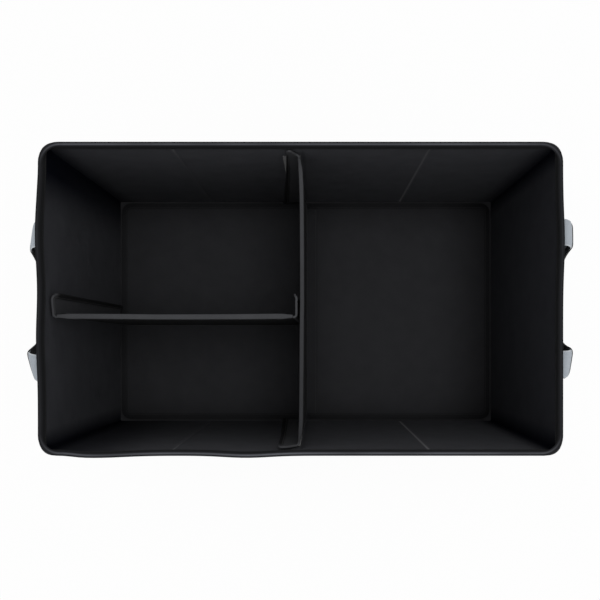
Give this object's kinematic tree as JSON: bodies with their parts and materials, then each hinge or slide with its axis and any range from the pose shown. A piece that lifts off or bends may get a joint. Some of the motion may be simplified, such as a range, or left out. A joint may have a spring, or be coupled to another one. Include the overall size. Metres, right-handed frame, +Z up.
{
  "type": "collapsible boot organiser",
  "caption": "Open rectangular fabric storage box with board-stiffened walls, compartments formed by removable dividers, a loose folding base board and a carry handle on each end.",
  "frame": {"origin": "middle of the bottom, on the ground", "axes": "+Z up, +X along the long side towards the undivided compartment, +Y towards the back wall"},
  "size_m": [0.6376, 0.3598, 0.3009],
  "materials": {
    "outer_fabric": "black woven polyester, matt, lightly coated",
    "lining_fabric": "black woven polyester lining, matt",
    "stiffener_board": "grey pressed fibre board, sealed inside the fabric",
    "binding_tape": "black woven edge tape, slightly lighter than the panels",
    "base_fabric": "black woven polyester, matt",
    "divider_fabric": "black woven polyester, matt",
    "loop_tape": "black brushed loop tape",
    "hook_tape": "black hook tape",
    "webbing": "cool light grey woven webbing",
    "grip_fabric": "black woven polyester wrap"
  },
  "bodies": {
    "shell": {"bottom_panel": "outer_fabric", "back_outer_panel": "outer_fabric", "front_outer_panel": "outer_fabric", "left_outer_panel": "outer_fabric", "right_outer_panel": "outer_fabric", "corner_gussets": "outer_fabric", "back_lining": "lining_fabric", "front_lining": "lining_fabric", "left_lining": "lining_fabric", "right_lining": "lining_fabric", "lining_corners": "lining_fabric", "back_board_left_outer": "stiffener_board", "back_board_left_inner": "stiffener_board", "back_board_right_inner": "stiffener_board", "back_board_right_outer": "stiffener_board", "front_board_left_outer": "stiffener_board", "front_board_left_inner": "stiffener_board", "front_board_right_inner": "stiffener_board", "front_board_right_outer": "stiffener_board", "left_end_board": "stiffener_board", "right_end_board": "stiffener_board", "rim_binding": "binding_tape", "bottom_binding": "binding_tape", "back_loop_tape": "loop_tape", "front_loop_tape": "loop_tape", "left_loop_tape": "loop_tape", "left_handle_legs": "webbing", "right_handle_legs": "webbing", "left_handle_bends": "webbing", "right_handle_bends": "webbing"},
    "base_left": {"left_base_board": "stiffener_board", "left_base_cover": "base_fabric", "left_base_binding": "binding_tape", "base_hinge_tape": "base_fabric"},
    "base_right": {"right_base_board": "stiffener_board", "right_base_cover": "base_fabric", "right_base_binding": "binding_tape"},
    "cross_divider": {"cross_board": "stiffener_board", "cross_cover": "divider_fabric", "cross_binding": "binding_tape", "cross_loop_tape": "loop_tape"},
    "short_divider": {"short_board": "stiffener_board", "short_cover": "divider_fabric", "short_binding": "binding_tape"},
    "cross_back_tab": {"cross_back_tab_flap": "divider_fabric", "cross_back_tab_edging": "binding_tape", "cross_back_tab_hook_tape": "hook_tape"},
    "cross_front_tab": {"cross_front_tab_flap": "divider_fabric", "cross_front_tab_edging": "binding_tape", "cross_front_tab_hook_tape": "hook_tape"},
    "short_left_tab": {"short_left_tab_flap": "divider_fabric", "short_left_tab_edging": "binding_tape", "short_left_tab_hook_tape": "hook_tape"},
    "short_right_tab": {"short_right_tab_flap": "divider_fabric", "short_right_tab_edging": "binding_tape", "short_right_tab_hook_tape": "hook_tape"},
    "left_handle": {"left_handle_loop": "webbing", "left_handle_grip": "grip_fabric"},
    "right_handle": {"right_handle_loop": "webbing", "right_handle_grip": "grip_fabric"}
  },
  "joints": [
    {"name": "base_lift", "type": "slide", "parent": "shell", "child": "base_left", "axis": [0, 0, 1], "range_m": [0, 0.31]},
    {"name": "base_right_fold", "type": "hinge", "parent": "base_left", "child": "base_right", "pos_m": [0.0037, 0, 0.0077], "axis": [0, -1, 0], "range_deg": [0, 88], "deforming": ["base_hinge_tape"]},
    {"name": "cross_divider_lift", "type": "slide", "parent": "base_left", "child": "cross_divider", "axis": [0, 0, 1], "range_m": [0, 0.3]},
    {"name": "short_divider_lift", "type": "slide", "parent": "base_left", "child": "short_divider", "axis": [0, 0, 1], "range_m": [0, 0.3]},
    {"name": "cross_back_tab_fold", "type": "hinge", "parent": "cross_divider", "child": "cross_back_tab", "pos_m": [0, 0.1667, 0.0086], "axis": [0, 0, 1], "range_deg": [0, 70]},
    {"name": "cross_front_tab_fold", "type": "hinge", "parent": "cross_divider", "child": "cross_front_tab", "pos_m": [0, -0.1667, 0.0086], "axis": [0, 0, -1], "range_deg": [0, 70]},
    {"name": "short_left_tab_fold", "type": "hinge", "parent": "short_divider", "child": "short_left_tab", "pos_m": [-0.2877, -0.02, 0.0086], "axis": [0, 0, -1], "range_deg": [0, 70]},
    {"name": "short_right_tab_fold", "type": "hinge", "parent": "short_divider", "child": "short_right_tab", "pos_m": [-0.0106, -0.02, 0.0086], "axis": [0, 0, 1], "range_deg": [0, 70]},
    {"name": "left_handle_swing", "type": "hinge", "parent": "shell", "child": "left_handle", "pos_m": [-0.3088, 0, 0.279], "axis": [0, 1, 0], "range_deg": [0, 165], "deforming": ["left_handle_bends"]},
    {"name": "right_handle_swing", "type": "hinge", "parent": "shell", "child": "right_handle", "pos_m": [0.3088, 0, 0.279], "axis": [0, -1, 0], "range_deg": [0, 165], "deforming": ["right_handle_bends"]}
  ]
}
